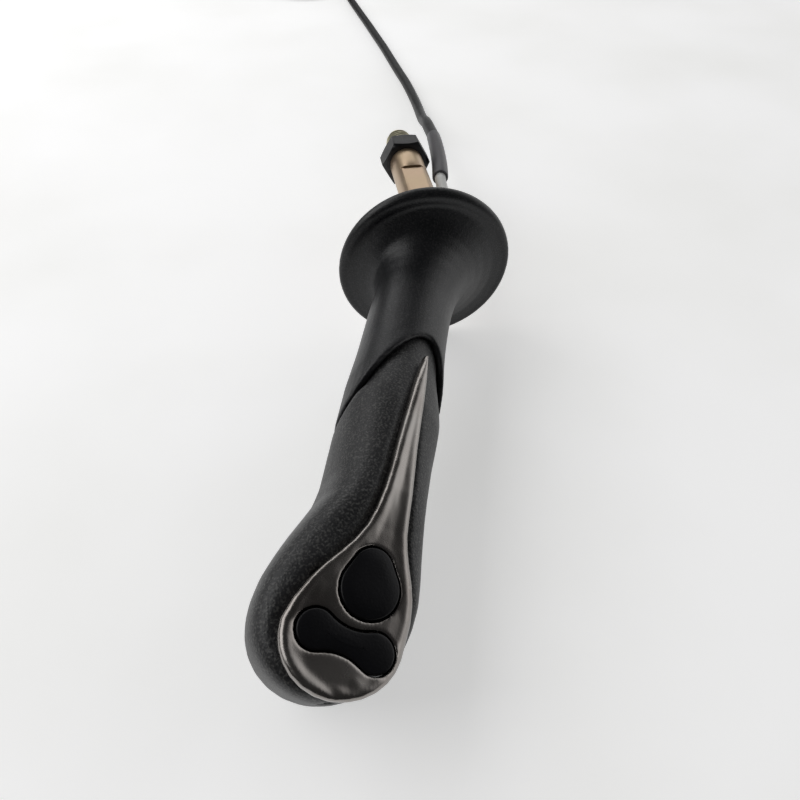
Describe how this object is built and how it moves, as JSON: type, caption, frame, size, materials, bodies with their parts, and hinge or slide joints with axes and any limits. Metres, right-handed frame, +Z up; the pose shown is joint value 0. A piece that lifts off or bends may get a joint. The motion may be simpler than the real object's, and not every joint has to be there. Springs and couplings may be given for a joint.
{
  "type": "industrial joystick",
  "caption": "Hand grip with a push button and a rocker in a metal face trim, on a bent lever rod with a threaded end, lock nut and trailing cord.",
  "frame": {"origin": "under the middle of the joystick without its cord, on the surface that it lies on", "axes": "+Y along the straight end of the rod towards its thread, +Z up from the surface, +X to the right seen from the grip's head"},
  "size_m": [0.1193, 0.8718, 0.0705],
  "materials": {
    "bell_black": "satin matte, moulded",
    "shell_black": "fine texture, satin",
    "trim_metal": "gunmetal satin",
    "small_steel": "plain",
    "button_black": "satin",
    "spring_steel": "bright",
    "inner_plastic": "plain",
    "board_green": "solder mask",
    "switch_grey": "plain",
    "plunger_white": "plain",
    "connector_white": "plain",
    "lead_white": "soft sleeve",
    "screw_dark": "black oxide",
    "socket_alloy": "turned",
    "rod_zinc": "yellow zinc plating",
    "nut_black": "black oxide",
    "sleeve_grey": "shrunk sleeve",
    "cord_grey": "satin",
    "tie_black": "hook and loop",
    "plug_black": "moulded",
    "pin_brass": "plain"
  },
  "bodies": {
    "handle": {"skirt": "bell_black", "rear_shell": "shell_black", "front_shell": "shell_black", "face_trim": "trim_metal", "trim_screws": "small_steel", "horn_spring": "spring_steel", "rocker_pin": "small_steel", "rocker_springs": "spring_steel", "button_carrier": "inner_plastic", "carrier_screws": "small_steel", "switch_board": "board_green", "board_screws": "small_steel", "horn_switch": "switch_grey", "rocker_switches": "switch_grey", "board_connector": "connector_white", "inner_lead": "lead_white", "shell_screws": "screw_dark", "rod_socket": "socket_alloy", "set_screws": "screw_dark", "lever_rod": "rod_zinc", "lock_nut": "nut_black", "lead_tube": "lead_white", "cord_sleeve": "sleeve_grey", "cord": "cord_grey", "cord_coil": "cord_grey", "cord_tie": "tie_black", "plug_boot": "plug_black", "plug_body": "plug_black", "plug_lock": "plug_black", "plug_pins": "pin_brass"},
    "horn": {"horn_button": "button_black"},
    "horn_switch_plunger": {"horn_plunger": "plunger_white"},
    "rocker_key": {"rocker": "button_black"},
    "left_plunger": {"rocker_plunger_left": "plunger_white"},
    "right_plunger": {"rocker_plunger_right": "plunger_white"}
  },
  "joints": [
    {"name": "horn_press", "type": "slide", "parent": "handle", "child": "horn", "axis": [-0.2809, 0.2162, -0.9351], "range_m": [0, 0.0015], "stiffness_N_per_m": 400, "springref_m": -0.002, "deforming": ["horn_spring"]},
    {"name": "horn_plunger_press", "type": "slide", "parent": "handle", "child": "horn_switch_plunger", "axis": [-0.2809, 0.2162, -0.9351], "range_m": [0, 0.0015]},
    {"name": "rocker_tilt", "type": "hinge", "parent": "handle", "child": "rocker_key", "pos_m": [-0.02897, -0.12979, 0.03409], "axis": [-0.4406, -0.8946, -0.0745], "range_deg": [-4.5, 4.5], "stiffness_Nm_per_rad": 0.05, "deforming": ["rocker_springs"]},
    {"name": "rocker_left_press", "type": "slide", "parent": "handle", "child": "left_plunger", "axis": [-0.2809, 0.2162, -0.9351], "range_m": [-0.00051, 0.00051]},
    {"name": "rocker_right_press", "type": "slide", "parent": "handle", "child": "right_plunger", "axis": [-0.2809, 0.2162, -0.9351], "range_m": [-0.00051, 0.00051]}
  ],
  "couplings": [
    {"joint": "horn_plunger_press", "follows": "horn_press", "ratio": 1},
    {"joint": "rocker_left_press", "follows": "rocker_tilt", "m_per_rad": 0.0062},
    {"joint": "rocker_right_press", "follows": "rocker_tilt", "m_per_rad": -0.0062}
  ]
}
